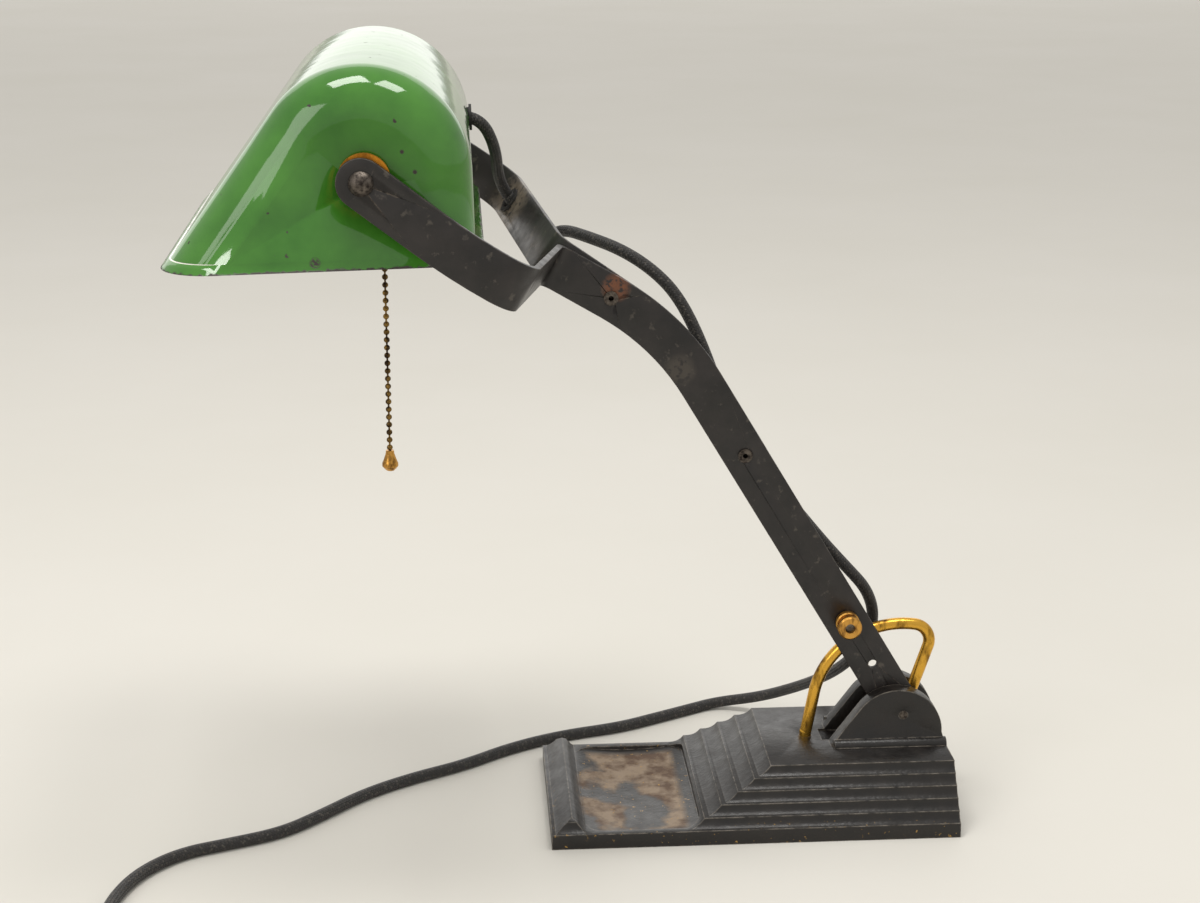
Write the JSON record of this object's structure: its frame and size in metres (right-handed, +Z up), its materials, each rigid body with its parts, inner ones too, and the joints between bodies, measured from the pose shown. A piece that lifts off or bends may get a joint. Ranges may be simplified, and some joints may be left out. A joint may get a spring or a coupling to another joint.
{
  "type": "banker desk lamp",
  "caption": "Desk lamp with a green enamelled trough shade on a tilting flat-steel arm, a brass guide hoop and clamp knob, and a stepped cast-iron base with a pen tray.",
  "frame": {"origin": "centre of the base's underside, on the table", "axes": "+X to the rear, where the arm is hinged; +Y to the side that the cord runs on; +Z up"},
  "size_m": [0.4998, 0.3932, 0.3984],
  "materials": {
    "enamel_green": "gloss",
    "black_iron": "satin",
    "black_steel": "satin",
    "brass": "satin",
    "steel": "satin",
    "rubber": "matte",
    "bakelite": "gloss",
    "glass": "matte",
    "cord_cloth": "matte"
  },
  "bodies": {
    "base": {"base_casting": "black_iron", "guide_hoop": "brass", "hoop_nut": "steel", "pivot_pin": "steel", "pivot_washer": "steel", "pivot_bush": "brass", "cord_drop": "cord_cloth", "cord_floor": "cord_cloth", "cord_tail": "cord_cloth", "cord_coil": "cord_cloth", "plug_cover": "bakelite", "plug_face": "bakelite", "plug_pins": "brass", "plug_screw": "steel"},
    "arm": {"main_arm_bar": "black_steel", "far_fork_bar": "black_steel", "arm_rivets": "black_steel", "fork_grommet": "rubber", "cord_clip": "black_steel", "clamp_stud": "steel", "clamp_plate": "black_steel", "pivot_screws": "steel", "friction_washers": "brass", "pivot_nuts": "steel", "inner_washer": "steel", "cord_arm": "cord_cloth"},
    "clamp_knob": {"clamp_knob": "brass"},
    "shade": {"shade": "enamel_green", "shade_grommet": "rubber", "holder_bracket": "steel", "holder_nipple": "brass", "holder_locknut": "brass", "holder_cap": "brass", "holder_shell": "bakelite", "holder_liner": "brass", "bulb_cap": "brass", "bulb_glass": "glass", "switch_collar": "brass", "cord_bush": "brass", "cord_shade": "cord_cloth"},
    "pull_switch": {"switch_lever": "brass"},
    "chain": {"pull_chain": "brass", "chain_bell": "brass"}
  },
  "joints": [
    {"name": "arm_tilt", "type": "hinge", "parent": "base", "child": "arm", "pos_m": [0.0812, 0, 0.0515], "axis": [0, -1, 0], "range_deg": [-25, 35], "deforming": ["cord_drop"]},
    {"name": "knob_turn", "type": "hinge", "parent": "arm", "child": "clamp_knob", "pos_m": [0.05095, 0, 0.10145], "axis": [0, -1, 0], "continuous": true},
    {"name": "shade_tip", "type": "hinge", "parent": "arm", "child": "shade", "pos_m": [-0.18808, 0, 0.35039], "axis": [0, -1, 0], "range_deg": [-35, 45], "deforming": ["cord_shade"]},
    {"name": "switch_pull", "type": "slide", "parent": "shade", "child": "pull_switch", "axis": [0, 0, -1], "range_m": [0, 0.006], "stiffness_N_per_m": 150, "springref_m": -0.01},
    {"name": "chain_swing", "type": "hinge", "parent": "pull_switch", "child": "chain", "pos_m": [-0.185, 0.062, 0.3224], "axis": [0, -1, 0], "range_deg": [-55, 55]}
  ]
}
